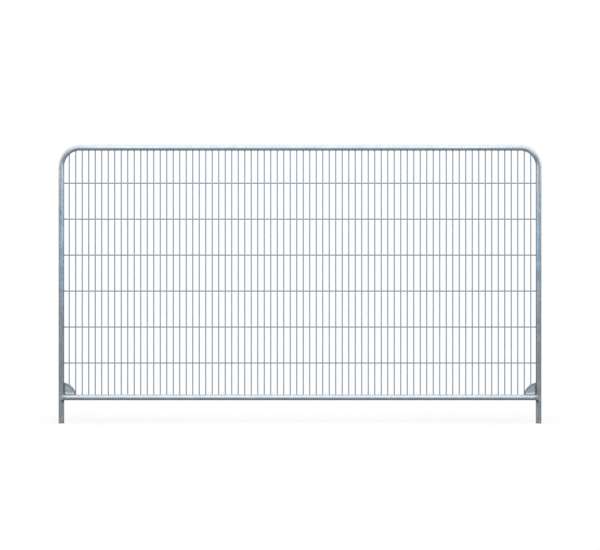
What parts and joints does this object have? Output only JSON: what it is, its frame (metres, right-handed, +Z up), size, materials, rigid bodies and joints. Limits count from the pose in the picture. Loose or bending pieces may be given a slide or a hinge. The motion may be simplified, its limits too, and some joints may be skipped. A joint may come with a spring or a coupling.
{
  "type": "temporary fence panel",
  "caption": "Welded mesh site fence panel: round-cornered bent tube hoop with a bottom rail, upright and row wires, pressed corner plates and plain legs for foot blocks.",
  "frame": {"origin": "on the ground midway between the two legs, at the bottom centre of the panel's box", "axes": "+X along the panel to the right as seen from the front, +Y from the front to the back, +Z up"},
  "size_m": [3.472, 0.04, 2],
  "materials": {
    "galvanised_tube": "hot-dip galvanised, satin, faint spangle",
    "galvanised_wire": "galvanised, satin, blue-grey",
    "galvanised_plate": "hot-dip galvanised, matt"
  },
  "bodies": {
    "root": {"frame_hoop": "galvanised_tube", "bottom_rail": "galvanised_tube", "left_corner_plate": "galvanised_plate", "right_corner_plate": "galvanised_plate", "row_wire_1": "galvanised_wire", "row_wire_2": "galvanised_wire", "row_wire_3": "galvanised_wire", "row_wire_4": "galvanised_wire", "row_wire_5": "galvanised_wire", "row_wire_6": "galvanised_wire", "upright_pair_01": "galvanised_wire", "upright_pair_02": "galvanised_wire", "upright_pair_03": "galvanised_wire", "upright_pair_04": "galvanised_wire", "upright_pair_05": "galvanised_wire", "upright_pair_06": "galvanised_wire", "upright_pair_07": "galvanised_wire", "upright_pair_08": "galvanised_wire", "upright_pair_09": "galvanised_wire", "upright_pair_10": "galvanised_wire", "upright_pair_11": "galvanised_wire", "upright_pair_12": "galvanised_wire", "upright_pair_13": "galvanised_wire", "upright_pair_14": "galvanised_wire", "upright_pair_15": "galvanised_wire", "upright_pair_16": "galvanised_wire", "upright_pair_17": "galvanised_wire", "upright_pair_18": "galvanised_wire", "upright_pair_19": "galvanised_wire", "upright_pair_20": "galvanised_wire", "upright_pair_21": "galvanised_wire", "upright_pair_22": "galvanised_wire", "upright_pair_23": "galvanised_wire", "upright_pair_24": "galvanised_wire", "upright_pair_25": "galvanised_wire", "upright_pair_26": "galvanised_wire", "upright_pair_27": "galvanised_wire", "upright_pair_28": "galvanised_wire", "upright_pair_29": "galvanised_wire", "upright_pair_30": "galvanised_wire", "upright_pair_31": "galvanised_wire", "upright_pair_32": "galvanised_wire", "upright_pair_33": "galvanised_wire", "upright_pair_34": "galvanised_wire", "upright_pair_35": "galvanised_wire", "upright_pair_36": "galvanised_wire"}
  },
  "joints": []
}
